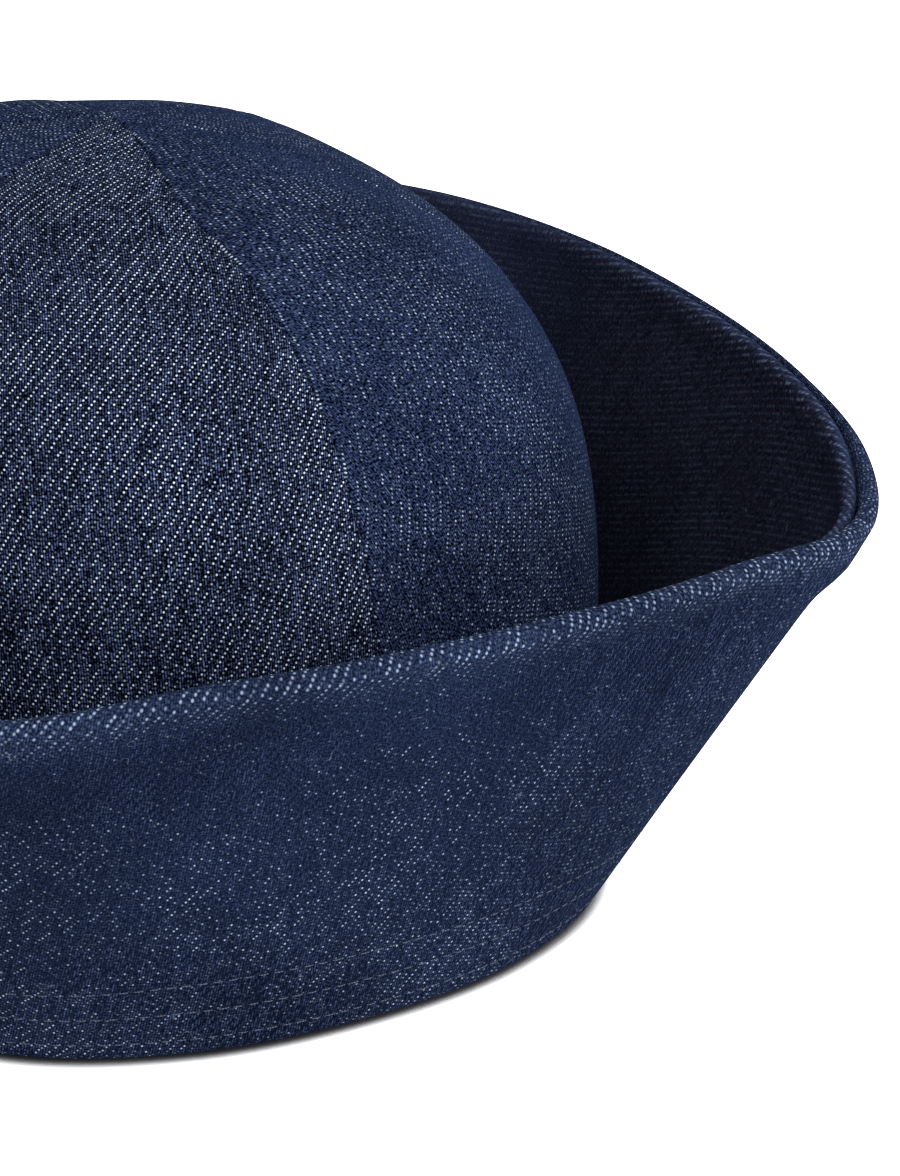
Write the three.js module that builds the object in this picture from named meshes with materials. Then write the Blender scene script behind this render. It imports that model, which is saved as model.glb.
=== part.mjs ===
// A soft denim sailor hat: a domed crown of six sewn gores inside a wide brim that is turned up all round.
// Millimetres, +Z up. The origin is on the floor below the middle of the brim, and the front faces -Y.
// An azimuth is in degrees from the front, growing towards +X.
import * as THREE from "three";

// Cloth
const CROWN_CLOTH = 1.5;
const BRIM_CLOTH = 2.0;
const SEAM_GAP = 0.3;

// Brim: a bottom fold with a flat underside, then a straight slant up to the rim
const BRIM_SLANT = 95.8;
const FOLD_RADIUS = 4;
const LIP_WIDTH = 7.5;
const FACING_START = 7;
const SLANT_FROM = FACING_START + BRIM_CLOTH / 2;
const SLANT_TO = BRIM_SLANT - BRIM_CLOTH / 2;

// Brim sections from front to back, for one half. The other half mirrors them.
// foot is the radius of the bottom fold, and flare the slant's lean outwards from upright in degrees.
const BRIM_SECTIONS = [
  { azimuth: 0, foot: 93, flare: 27.5 },
  { azimuth: 20, foot: 94, flare: 28.5 },
  { azimuth: 36, foot: 93.5, flare: 31.5 },
  { azimuth: 46, foot: 91.5, flare: 28.5 },
  { azimuth: 58, foot: 89, flare: 22 },
  { azimuth: 75, foot: 86, flare: 17 },
  { azimuth: 95, foot: 86, flare: 16.5 },
  { azimuth: 120, foot: 92.5, flare: 18 },
  { azimuth: 142, foot: 97.5, flare: 27 },
  { azimuth: 160, foot: 96, flare: 26 },
  { azimuth: 180, foot: 95, flare: 26 },
];

// Crown: an upright wall that turns over into a low cone.
// A higher power keeps the wall or the top straighter.
const CROWN_HEIGHT = 136;
const WALL_POWER = 4.85;
const TOP_POWER = 1.55;
const CROWN_INSET = 4.6;
const FOOT_TUCK = 1.4;
const FOOT_TUCK_HEIGHT = 40;
const CROWN_SWELL = 0.04;
const APEX_LEAN = { x: 2.5, y: -2 };
const APEX_OPENING = 0.6;

// How far the middle of each gore stands out of the plain dome, from the front seam round towards +X.
// A slack gore lies in.
const PANEL_PUFFS = [1.4, 0, -0.7, 2.2, 0.5, 0.5];
const PANELS = PANEL_PUFFS.length;

// How far the crown's seams swing round from straight meridians.
// along runs from 0 at the foot to 1 at the apex, and swing is in degrees.
const SEAM_SWING = [
  { along: 0, swing: 4 },
  { along: 0.3, swing: 2.5 },
  { along: 0.55, swing: 0 },
  { along: 0.7, swing: -2 },
  { along: 0.85, swing: -8 },
  { along: 1, swing: -3.5 },
];

// Mesh fineness
const RING_STEPS = 72;
const SLANT_STEPS = 3;
const FOLD_STEPS = 4;
const EDGE_STEPS = 4;
const PANEL_STEPS_ACROSS = 8;
const PANEL_STEPS_UP = 16;
const PROFILE_STEPS = 80;
const LENGTH_STEPS = 800;

// Finish
const DENIM_INDIGO = 0x1d2a4b;
const DENIM_ROUGHNESS = 0.9;

const HALF_TURN = 180;
const WHOLE_TURN = 360;
const toRadians = THREE.MathUtils.degToRad;

// The value of one column of a table between its rows: cubic pieces, level at the first and last rows.
function tableValue(rows, place, column, at) {
  const last = rows.length - 1;
  const next = rows.findIndex((row) => row[place] >= at);
  const high = next < 0 ? last : Math.max(next, 1);
  const low = high - 1;
  const rise = (i) => (rows[i + 1][column] - rows[i][column]) / (rows[i + 1][place] - rows[i][place]);
  const run = (i) => rows[i + 1][place] - rows[i][place];
  const slope = (i) => {
    if (i === 0 || i === last) return 0;
    return (rise(i - 1) * run(i) + rise(i) * run(i - 1)) / (run(i - 1) + run(i));
  };
  const width = run(low);
  const s = THREE.MathUtils.clamp((at - rows[low][place]) / width, 0, 1);
  const keepLow = (1 + 2 * s) * (1 - s) ** 2;
  const turnLow = s * (1 - s) ** 2 * width;
  const turnHigh = s ** 2 * (s - 1) * width;
  return (
    keepLow * rows[low][column] +
    turnLow * slope(low) +
    (1 - keepLow) * rows[high][column] +
    turnHigh * slope(high)
  );
}

// The brim's section at any azimuth, mirrored from one half of the hat to the other.
function brimSection(azimuth) {
  const turn = THREE.MathUtils.euclideanModulo(azimuth, WHOLE_TURN);
  const folded = turn > HALF_TURN ? WHOLE_TURN - turn : turn;
  return {
    foot: tableValue(BRIM_SECTIONS, "azimuth", "foot", folded),
    flare: toRadians(tableValue(BRIM_SECTIONS, "azimuth", "flare", folded)),
  };
}

// A point from its radius, azimuth and height.
function polarPoint(radius, azimuth, height) {
  const angle = toRadians(azimuth);
  return new THREE.Vector3(radius * Math.sin(angle), -radius * Math.cos(angle), height);
}

// Points on the slant, as (radius, height): inset is the depth below the brim's outer face.
function slantPoint(section, slant, inset) {
  const { foot, flare } = section;
  return new THREE.Vector2(
    foot + slant * Math.sin(flare) - inset * Math.cos(flare),
    slant * Math.cos(flare) + inset * Math.sin(flare),
  );
}

// A straight run of points on the slant from one place to another.
function slantRun(section, from, to, inset) {
  const points = [];
  for (let i = 0; i <= SLANT_STEPS; i++) {
    points.push(slantPoint(section, THREE.MathUtils.lerp(from, to, i / SLANT_STEPS), inset));
  }
  return points;
}

// The half-round edge of a layer at one end of the slant, from its outer face round to its inner face.
// way is 1 at the rim and -1 at a lower edge.
function roundEdge(section, slant, inset, way) {
  const half = BRIM_CLOTH / 2;
  const points = [];
  for (let i = 1; i < EDGE_STEPS; i++) {
    const angle = (Math.PI * i) / EDGE_STEPS;
    const along = slant + way * half * Math.sin(angle);
    points.push(slantPoint(section, along, inset + half - half * Math.cos(angle)));
  }
  return points;
}

// The arc of the bottom fold between the flat underside and the slant, at a distance inside the outer face.
function foldArc(section, inset) {
  const turn = Math.PI / 2 - section.flare;
  const setback = FOLD_RADIUS * Math.tan(turn / 2);
  const centre = new THREE.Vector2(section.foot - setback, FOLD_RADIUS);
  const radius = FOLD_RADIUS - inset;
  const points = [];
  for (let i = 0; i <= FOLD_STEPS; i++) {
    const angle = (turn * i) / FOLD_STEPS;
    points.push(
      new THREE.Vector2(centre.x + radius * Math.sin(angle), centre.y - radius * Math.cos(angle)),
    );
  }
  return points;
}

// Outline of the outer brim layer: flat lip under the crown, bottom fold, slant, round rim and back inside.
function outerOutline(azimuth) {
  const section = brimSection(azimuth);
  const lipRadius = section.foot - LIP_WIDTH;
  return [
    new THREE.Vector2(lipRadius, 0),
    ...foldArc(section, 0),
    ...slantRun(section, SLANT_FROM, SLANT_TO, 0),
    ...roundEdge(section, SLANT_TO, 0, 1),
    ...slantRun(section, SLANT_TO, SLANT_FROM, BRIM_CLOTH),
    ...foldArc(section, BRIM_CLOTH).reverse(),
    new THREE.Vector2(lipRadius, BRIM_CLOTH),
  ];
}

// Outline of the brim's facing, which lines the outer layer from just above the fold up to the rim.
function facingOutline(azimuth) {
  const section = brimSection(azimuth);
  const depth = BRIM_CLOTH + SEAM_GAP;
  return [
    ...slantRun(section, SLANT_FROM, SLANT_TO, depth),
    ...roundEdge(section, SLANT_TO, depth, 1),
    ...slantRun(section, SLANT_TO, SLANT_FROM, depth + BRIM_CLOTH),
    ...roundEdge(section, SLANT_FROM, depth, -1).reverse(),
  ];
}

// A closed ring lofted through the outline at every azimuth.
// Rising and falling faces are split along the same diagonal, so that two layers lie flat on each other.
function ringGeometry(outlineAt) {
  const positions = [];
  const indices = [];
  const front = outlineAt(0);
  const count = front.length;
  for (let i = 0; i < RING_STEPS; i++) {
    const azimuth = (WHOLE_TURN * i) / RING_STEPS;
    for (const point of outlineAt(azimuth)) {
      positions.push(...polarPoint(point.x, azimuth, point.y).toArray());
    }
  }
  for (let i = 0; i < RING_STEPS; i++) {
    const here = i * count;
    const there = ((i + 1) % RING_STEPS) * count;
    for (let j = 0; j < count; j++) {
      const k = (j + 1) % count;
      const [a, b, c, d] = [here + j, there + j, there + k, here + k];
      const rising = front[k].y > front[j].y;
      indices.push(...(rising ? [a, b, c, a, c, d] : [a, b, d, b, c, d]));
    }
  }
  return closedGeometry(positions, indices);
}

// A mesh geometry from its corner positions and triangle corners.
function closedGeometry(positions, indices) {
  const geometry = new THREE.BufferGeometry();
  geometry.setAttribute("position", new THREE.Float32BufferAttribute(positions, 3));
  geometry.setIndex(indices);
  geometry.computeVertexNormals();
  return geometry;
}

// The crown's upright profile as a curve of (radius share, height share), walked by its length.
function crownProfile() {
  const meanRadius = BRIM_SECTIONS.reduce((sum, row) => sum + row.foot, 0) / BRIM_SECTIONS.length;
  const points = [];
  for (let i = 0; i <= PROFILE_STEPS; i++) {
    const angle = (Math.PI / 2) * (i / PROFILE_STEPS) ** 3;
    const radiusShare = Math.max(Math.cos(angle), 0) ** (2 / TOP_POWER);
    const heightShare = Math.sin(angle) ** (2 / WALL_POWER);
    points.push(new THREE.Vector2(radiusShare * meanRadius, heightShare * CROWN_HEIGHT));
  }
  const curve = new THREE.SplineCurve(points);
  curve.arcLengthDivisions = LENGTH_STEPS;
  const length = curve.getLength();
  return {
    footAlong: (BRIM_CLOTH + SEAM_GAP) / length,
    tipAlong: 1 - APEX_OPENING / length,
    at: (along) => {
      const point = curve.getPointAt(along);
      return { radiusShare: point.x / meanRadius, heightShare: point.y / CROWN_HEIGHT };
    },
  };
}

const PROFILE = crownProfile();

// A point on the crown's plain dome. place counts gores round from the front seam.
function domePoint(place, along) {
  const { radiusShare, heightShare } = PROFILE.at(along);
  const height = heightShare * CROWN_HEIGHT;
  const azimuth = (place * WHOLE_TURN) / PANELS;
  const swing = tableValue(SEAM_SWING, "along", "swing", along);
  const tuck = FOOT_TUCK * THREE.MathUtils.smoothstep(height, 0, FOOT_TUCK_HEIGHT);
  const footRadius = brimSection(azimuth).foot - CROWN_INSET + tuck;
  const radius = footRadius * radiusShare * (1 + CROWN_SWELL * heightShare);
  const point = polarPoint(radius, azimuth + swing, height);
  point.x += APEX_LEAN.x * heightShare ** 2;
  point.y += APEX_LEAN.y * heightShare ** 2;
  return point;
}

// The outward direction of the dome, from small steps across and along it.
function domeNormal(place, along) {
  const step = 1e-3;
  const east = domePoint(place + step, along);
  const west = domePoint(place - step, along);
  const up = domePoint(place, Math.min(along + step, 1 - step));
  const down = domePoint(place, Math.max(along - step, 0));
  return east.sub(west).cross(up.sub(down)).normalize();
}

// A point in a gore's cloth, at a depth below its outer face.
// share runs across the gore, 0 to 1 from seam to seam.
function gorePoint(panel, share, along, depth) {
  const puff = PANEL_PUFFS[panel] * 4 * share * (1 - share) * Math.sin(Math.PI * along ** 2);
  return domePoint(panel + share, along).addScaledVector(domeNormal(panel + share, along), puff - depth);
}

// One gore as a closed shell of cloth, narrowed by half the seam gap along each side.
function panelGeometry(panel) {
  const positions = [];
  const indices = [];
  const columns = PANEL_STEPS_ACROSS + 1;
  const rows = PANEL_STEPS_UP + 1;
  const panelAngle = toRadians(WHOLE_TURN / PANELS);
  for (const depth of [0, CROWN_CLOTH]) {
    for (let j = 0; j < rows; j++) {
      const along = THREE.MathUtils.lerp(PROFILE.footAlong, PROFILE.tipAlong, j / PANEL_STEPS_UP);
      const middle = domePoint(panel + 0.5, along);
      const trim = SEAM_GAP / 2 / (Math.hypot(middle.x, middle.y) * panelAngle);
      for (let i = 0; i < columns; i++) {
        const share = THREE.MathUtils.lerp(trim, 1 - trim, i / PANEL_STEPS_ACROSS);
        positions.push(...gorePoint(panel, share, along, depth).toArray());
      }
    }
  }
  const outer = (i, j) => j * columns + i;
  const inner = (i, j) => rows * columns + outer(i, j);
  const quad = (a, b, c, d) => indices.push(a, b, c, a, c, d);
  for (let j = 0; j < PANEL_STEPS_UP; j++) {
    for (let i = 0; i < PANEL_STEPS_ACROSS; i++) {
      quad(outer(i, j), outer(i + 1, j), outer(i + 1, j + 1), outer(i, j + 1));
      quad(inner(i, j), inner(i, j + 1), inner(i + 1, j + 1), inner(i + 1, j));
    }
    quad(outer(0, j), outer(0, j + 1), inner(0, j + 1), inner(0, j));
    const end = PANEL_STEPS_ACROSS;
    quad(outer(end, j), inner(end, j), inner(end, j + 1), outer(end, j + 1));
  }
  for (let i = 0; i < PANEL_STEPS_ACROSS; i++) {
    const end = PANEL_STEPS_UP;
    quad(outer(i, 0), inner(i, 0), inner(i + 1, 0), outer(i + 1, 0));
    quad(outer(i, end), outer(i + 1, end), inner(i + 1, end), inner(i, end));
  }
  return closedGeometry(positions, indices);
}

// One named piece of denim.
function denimPiece(name, geometry) {
  const material = new THREE.MeshStandardMaterial({
    color: DENIM_INDIGO,
    roughness: DENIM_ROUGHNESS,
    metalness: 0,
  });
  const mesh = new THREE.Mesh(geometry, material);
  mesh.name = name;
  return mesh;
}

const hat = new THREE.Group();
hat.add(denimPiece("brim_outer", ringGeometry(outerOutline)));
hat.add(denimPiece("brim_inner", ringGeometry(facingOutline)));
const crown = new THREE.Group();
for (let panel = 0; panel < PANELS; panel++) {
  crown.add(denimPiece(`crown_panel_${panel + 1}`, panelGeometry(panel)));
}
hat.add(crown);

export default hat;
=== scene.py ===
"""Looks of a soft denim sailor hat: six sewn crown gores inside a brim that is turned up all round.

Metres, +Z up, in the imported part's frame: the hat rests on z = 0 and its front faces -Y.
An azimuth is in degrees from the front, growing towards +X.
"""
import logging
import math
from dataclasses import dataclass, field
from enum import Enum
from typing import NamedTuple

import bpy
import numpy as np
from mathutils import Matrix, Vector


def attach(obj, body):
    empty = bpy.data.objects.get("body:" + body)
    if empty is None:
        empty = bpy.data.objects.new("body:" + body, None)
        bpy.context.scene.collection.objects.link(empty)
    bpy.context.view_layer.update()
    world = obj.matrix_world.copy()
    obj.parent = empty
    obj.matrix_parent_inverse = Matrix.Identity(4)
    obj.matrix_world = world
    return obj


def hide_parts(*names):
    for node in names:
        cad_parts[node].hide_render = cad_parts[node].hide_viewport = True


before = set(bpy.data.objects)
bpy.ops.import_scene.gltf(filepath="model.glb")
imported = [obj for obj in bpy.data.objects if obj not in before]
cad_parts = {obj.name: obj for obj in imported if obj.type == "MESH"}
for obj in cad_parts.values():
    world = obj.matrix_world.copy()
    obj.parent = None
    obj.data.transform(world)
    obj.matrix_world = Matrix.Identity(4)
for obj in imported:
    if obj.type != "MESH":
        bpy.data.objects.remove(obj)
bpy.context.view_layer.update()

Array = np.ndarray
Pair = tuple[float, float]
Place = tuple[float, float, float]
Colour = tuple[float, float, float, float]
Node = bpy.types.Node
Socket = bpy.types.NodeSocket
Sockets = bpy.types.bpy_prop_collection
Feed = Socket | float | Colour

LOG = logging.getLogger("sailor_hat")
ROOT_BODY = "root"
GRAIN_UV = "grain"
WEAR = "wear"
NAP = "nap"
WEFT = "weft"
MM = 0.001
WHITE = (1.0, 1.0, 1.0, 1.0)

# Socket numbers of a mix node's share and two colours, and of its mixed colour
MIX_COLOUR_INPUTS = (0, 6, 7)
MIX_COLOUR_OUTPUT = 2

# How much of the weft a full nap hides, and how fast it goes
NAP_COVER = 0.95
NAP_FALL = 1.6


class Slot(Enum):
    """The record's material slots."""

    CROWN = "crown_denim"
    BRIM = "brim_denim"
    FACING = "brim_facing_denim"


class BrimSection(NamedTuple):
    """One section of the brim: azimuth and flare in degrees, foot radius in metres."""

    azimuth: float
    foot: float
    flare: float


class SeamSwing(NamedTuple):
    """How far the crown's seams swing round, in degrees, at a share of the way from foot to apex."""

    along: float
    swing: float


BRIM_SECTIONS = (
    BrimSection(0, 0.093, 27.5),
    BrimSection(20, 0.094, 28.5),
    BrimSection(36, 0.0935, 31.5),
    BrimSection(46, 0.0915, 28.5),
    BrimSection(58, 0.089, 22),
    BrimSection(75, 0.086, 17),
    BrimSection(95, 0.086, 16.5),
    BrimSection(120, 0.0925, 18),
    BrimSection(142, 0.0975, 27),
    BrimSection(160, 0.096, 26),
    BrimSection(180, 0.095, 26),
)

SEAM_SWINGS = (
    SeamSwing(0, 4),
    SeamSwing(0.3, 2.5),
    SeamSwing(0.55, 0),
    SeamSwing(0.7, -2),
    SeamSwing(0.85, -8),
    SeamSwing(1, -3.5),
)


def table_value(places: list[float], values: list[float], at: Array) -> Array:
    """Reads a short table between its rows by cubic pieces, level at the first and last rows.

    Args:
        places: where each row stands, growing.
        values: the value of each row.
        at: where to read.

    Returns:
        The values there.
    """
    x = np.asarray(places, float)
    y = np.asarray(values, float)
    run = np.diff(x)
    rise = np.diff(y) / run
    slope = np.zeros_like(y)
    slope[1:-1] = (rise[:-1] * run[1:] + rise[1:] * run[:-1]) / (run[:-1] + run[1:])
    low = np.clip(np.searchsorted(x, at) - 1, 0, len(run) - 1)
    s = np.clip((at - x[low]) / run[low], 0, 1)
    keep = (1 + 2 * s) * (1 - s) ** 2
    turn_low = s * (1 - s) ** 2 * run[low] * slope[low]
    turn_high = s**2 * (s - 1) * run[low] * slope[low + 1]
    return keep * y[low] + turn_low + (1 - keep) * y[low + 1] + turn_high


def smoothstep(value: Array, low: float, high: float) -> Array:
    """A soft step from 0 at low to 1 at high."""
    s = np.clip((value - low) / (high - low), 0, 1)
    return s * s * (3 - 2 * s)


def ramp(value: Array, edge: float, span: Pair) -> Array:
    """A soft step from 0 to 1 across a span that is counted from an edge."""
    return smoothstep(value, edge + span[0], edge + span[1])


def polar(radius: Array, azimuth: Array, height: Array) -> Array:
    """Points from their radius, azimuth and height.

    Args:
        radius: distance from the upright axis.
        azimuth: degrees from the front.
        height: height above the floor.

    Returns:
        The points, with x, y and z in the last axis.
    """
    angle = np.radians(azimuth)
    parts = np.broadcast_arrays(radius * np.sin(angle), -radius * np.cos(angle), height)
    return np.stack(parts, axis=-1)


def arc_lengths(points: Array) -> Array:
    """Distance walked along each row of points.

    Args:
        points: rows of points, walked along the last axis but one.

    Returns:
        The distance from each row's first point.
    """
    steps = np.linalg.norm(np.diff(points, axis=-2), axis=-1)
    start = np.zeros(steps.shape[:-1] + (1,))
    return np.concatenate([start, np.cumsum(steps, axis=-1)], axis=-1)


@dataclass(frozen=True)
class BrimForm:
    """The brim's main shape: a bottom fold with a flat underside, then a slant up to the rim."""

    slant: float = 0.0958
    cloth: float = 0.002
    fold_radius: float = 0.004
    lip_width: float = 0.0075
    sections: tuple[BrimSection, ...] = BRIM_SECTIONS

    def column(self, name: str, azimuth: Array) -> Array:
        """Reads one column of the sections at any azimuth, mirrored from half to half.

        Args:
            name: the column's name.
            azimuth: degrees from the front.

        Returns:
            The column's values there.
        """
        folded = np.abs((np.asarray(azimuth, float) + 180) % 360 - 180)
        places = [row.azimuth for row in self.sections]
        return table_value(places, [getattr(row, name) for row in self.sections], folded)

    def foot(self, azimuth: Array) -> Array:
        """Radius of the bottom fold."""
        return self.column("foot", azimuth)

    def flare(self, azimuth: Array) -> Array:
        """Lean of the slant outwards from upright, in radians."""
        return np.radians(self.column("flare", azimuth))

    def slant_point(self, azimuth: Array, slant: Array, inset: Array) -> Array:
        """Points on the slant.

        Args:
            azimuth: degrees from the front.
            slant: distance up the slant from the fold.
            inset: depth below the brim's outer face.

        Returns:
            The points.
        """
        foot = self.foot(azimuth)
        flare = self.flare(azimuth)
        radius = foot + slant * np.sin(flare) - inset * np.cos(flare)
        return polar(radius, azimuth, slant * np.cos(flare) + inset * np.sin(flare))

    def fold_point(self, azimuth: Array, share: Array, inset: float) -> Array:
        """Points on the bottom fold's arc.

        Args:
            azimuth: degrees from the front.
            share: 0 at the flat underside and 1 at the slant.
            inset: depth below the brim's outer face.

        Returns:
            The points.
        """
        turn = math.pi / 2 - self.flare(azimuth)
        centre = self.foot(azimuth) - self.fold_radius * np.tan(turn / 2)
        radius = self.fold_radius - inset
        reach = radius * np.sin(turn * share)
        return polar(centre + reach, azimuth, self.fold_radius - radius * np.cos(turn * share))

    def lip_point(self, azimuth: Array, share: Array, height: float) -> Array:
        """Points on the flat lip under the crown.

        Args:
            azimuth: degrees from the front.
            share: 0 at the lip's inner edge and 1 where the fold starts.
            height: height above the floor.

        Returns:
            The points.
        """
        turn = math.pi / 2 - self.flare(azimuth)
        foot = self.foot(azimuth)
        start = foot - self.lip_width
        end = foot - self.fold_radius * np.tan(turn / 2)
        return polar(start + (end - start) * share, azimuth, height)


@dataclass(frozen=True)
class CrownForm:
    """The crown's main shape: an upright wall over the brim's foot that turns over into a low cone."""

    brim: BrimForm = BrimForm()
    panel_puffs: tuple[float, ...] = (0.0014, 0.0, -0.0007, 0.0022, 0.0005, 0.0005)
    cloth: float = 0.0015
    height: float = 0.136
    wall_power: float = 4.85
    top_power: float = 1.55
    inset: float = 0.0046
    foot_tuck: float = 0.0014
    foot_tuck_height: float = 0.04
    swell: float = 0.04
    apex_lean: Pair = (0.0025, -0.002)
    foot_gap: float = 0.0003
    profile_steps: int = 4000

    @property
    def panels(self) -> int:
        """Number of gores."""
        return len(self.panel_puffs)

    def profile(self) -> tuple[Array, Array, Array]:
        """The upright profile, walked by its length.

        Returns:
            Lengths from the foot, and the share of the foot radius and of the height at each.
        """
        angle = (math.pi / 2) * np.linspace(0, 1, self.profile_steps) ** 3
        radius_share = np.maximum(np.cos(angle), 0) ** (2 / self.top_power)
        height_share = np.sin(angle) ** (2 / self.wall_power)
        mean_radius = np.mean([row.foot for row in self.brim.sections])
        points = np.stack([radius_share * mean_radius, height_share * self.height], axis=-1)
        return arc_lengths(points), radius_share, height_share

    def dome(self, place: Array, along: Array) -> Array:
        """Points on the crown's plain dome.

        Args:
            place: gores counted round from the front seam.
            along: 0 at the foot to 1 at the apex.

        Returns:
            The points.
        """
        lengths, radius_shares, height_shares = self.profile()
        radius_share = np.interp(along, lengths / lengths[-1], radius_shares)
        height_share = np.interp(along, lengths / lengths[-1], height_shares)
        height = height_share * self.height
        azimuth = place * 360 / self.panels
        swing = table_value([r.along for r in SEAM_SWINGS], [r.swing for r in SEAM_SWINGS], along)
        tuck = self.foot_tuck * smoothstep(height, 0, self.foot_tuck_height)
        foot_radius = self.brim.foot(azimuth) - self.inset + tuck
        radius = foot_radius * radius_share * (1 + self.swell * height_share)
        points = polar(radius, azimuth + swing, height)
        points[..., 0] += self.apex_lean[0] * height_share**2
        points[..., 1] += self.apex_lean[1] * height_share**2
        return points

    def puff(self, panel: int, share: Array, along: Array) -> Array:
        """How far a gore stands out of the dome.

        Args:
            panel: the gore's place, 0 to 5 round from the front seam.
            share: 0 to 1 across the gore from seam to seam.
            along: 0 at the foot to 1 at the apex.

        Returns:
            Distances along the outward direction.
        """
        return self.panel_puffs[panel] * 4 * share * (1 - share) * np.sin(math.pi * along**2)

    def normal(self, place: Array, along: Array) -> Array:
        """Outward directions of the dome, from small steps across and along it.

        Args:
            place: gores counted round from the front seam.
            along: 0 at the foot to 1 at the apex.

        Returns:
            Unit vectors.
        """
        step = 1e-3
        east = self.dome(place + step, along)
        west = self.dome(place - step, along)
        above = self.dome(place, np.minimum(along + step, 1 - step))
        below = self.dome(place, np.maximum(along - step, 0))
        normal = np.cross(east - west, above - below)
        return normal / np.linalg.norm(normal, axis=-1, keepdims=True)


def add_object(name: str, data: bpy.types.ID) -> bpy.types.Object:
    """Makes an object of its data and adds it to the scene.

    Args:
        name: the object's name.
        data: its mesh, lamp or camera.

    Returns:
        The new object.
    """
    new = bpy.data.objects.new(name, data)
    bpy.context.scene.collection.objects.link(new)
    return new


@dataclass
class MeshParts:
    """Arrays that become one mesh.

    The grain is a place on the flat cloth for each face corner. Each point has its wear, from 0 to 1
    where the edges are rubbed, its nap, from 0 where the weave is bare to 1 where fuzz hides it, which on
    the crown is partly painted sheen, and how much weft shows, from 0 to 1.
    """

    points: Array
    faces: Array
    grain: Array
    wear: Array
    nap: Array
    weft: Array

    def build(self, name: str) -> bpy.types.Object:
        """Makes the mesh object, shaded smooth, and adds it to the scene.

        Args:
            name: the piece's name.

        Returns:
            The new object.
        """
        mesh = bpy.data.meshes.new(name)
        mesh.from_pydata(self.points.reshape(-1, 3).tolist(), [], self.faces.tolist())
        mesh.polygons.foreach_set("use_smooth", np.ones(len(self.faces), bool))
        uv = mesh.uv_layers.new(name=GRAIN_UV)
        uv.uv.foreach_set("vector", self.grain.astype(np.float32).ravel())
        for layer, values in ((WEAR, self.wear), (NAP, self.nap), (WEFT, self.weft)):
            attribute = mesh.attributes.new(layer, "FLOAT", "POINT")
            attribute.data.foreach_set("value", values.astype(np.float32).ravel())
        mesh.update()
        return add_object(name, mesh)


def grid_faces(rows: int, columns: int) -> Array:
    """Four-sided faces between the points of a grid.

    Args:
        rows: number of rows of points.
        columns: number of points in a row.

    Returns:
        Point numbers, one face to a line, turning from the row direction to the column direction.
    """
    first = np.arange(rows - 1)[:, None] * columns + np.arange(columns - 1)[None, :]
    corners = [first, first + 1, first + 1 + columns, first + columns]
    return np.stack(corners, axis=-1).reshape(-1, 4)


def weft_through(nap: Array) -> Array:
    """How much weft shows through a nap: all of it where the weave is bare."""
    return (1 - NAP_COVER * nap) ** NAP_FALL


def ring_parts(points: Array, grain: Array, wear: Array, nap: Array, weft: Array) -> MeshParts:
    """A closed ring from outlines that stand side by side round the hat.

    Args:
        points: outlines by outline points; the last outline meets the first and is left out.
        grain: cloth coordinates for the same grid, with its last outline.
        wear: wear for the same grid as the points.
        nap: nap for the same grid as the points.
        weft: how much weft shows, for the same grid as the points.

    Returns:
        The ring's mesh arrays.
    """
    outlines, count = points.shape[:2]
    here = np.arange(outlines)[:, None]
    there = here + 1
    j = np.arange(count)[None, :]
    k = (j + 1) % count
    around = there % outlines
    faces = np.stack([here * count + j, around * count + j, around * count + k, here * count + k], axis=-1)
    spots = np.stack([here * count + j, there * count + j, there * count + k, here * count + k], axis=-1)
    corner_grain = grain.reshape(-1, 2)[spots.reshape(-1, 4)]
    return MeshParts(points, faces.reshape(-1, 4), corner_grain, wear, nap, weft)


@dataclass(frozen=True)
class ClothGrain:
    """How the brim's cloth is cut: a flat ring whose warp leans from upright at the front, in radians."""

    inner_radius: float = 0.19
    lean: float = 0.075

    def at(self, form: BrimForm, azimuths: Array, cloth: Array, face: float) -> Array:
        """Places on the flat cloth.

        Args:
            form: the brim's shape.
            azimuths: degrees from the front, growing from -180 to 180.
            cloth: distance up the cloth from the fold.
            face: 1 where the right side of the cloth faces out, -1 where it faces in.

        Returns:
            Distance across and up the cloth, for each azimuth and distance.
        """
        foot_line = polar(form.foot(azimuths), azimuths, np.zeros_like(azimuths))
        walked = arc_lengths(foot_line)
        turn = (walked - np.interp(0, azimuths, walked)) / self.inner_radius + self.lean
        reach = self.inner_radius + cloth[None, :]
        across = face * reach * np.sin(turn)[:, None]
        return np.stack([across, reach * np.cos(turn)[:, None]], axis=-1)


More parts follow.
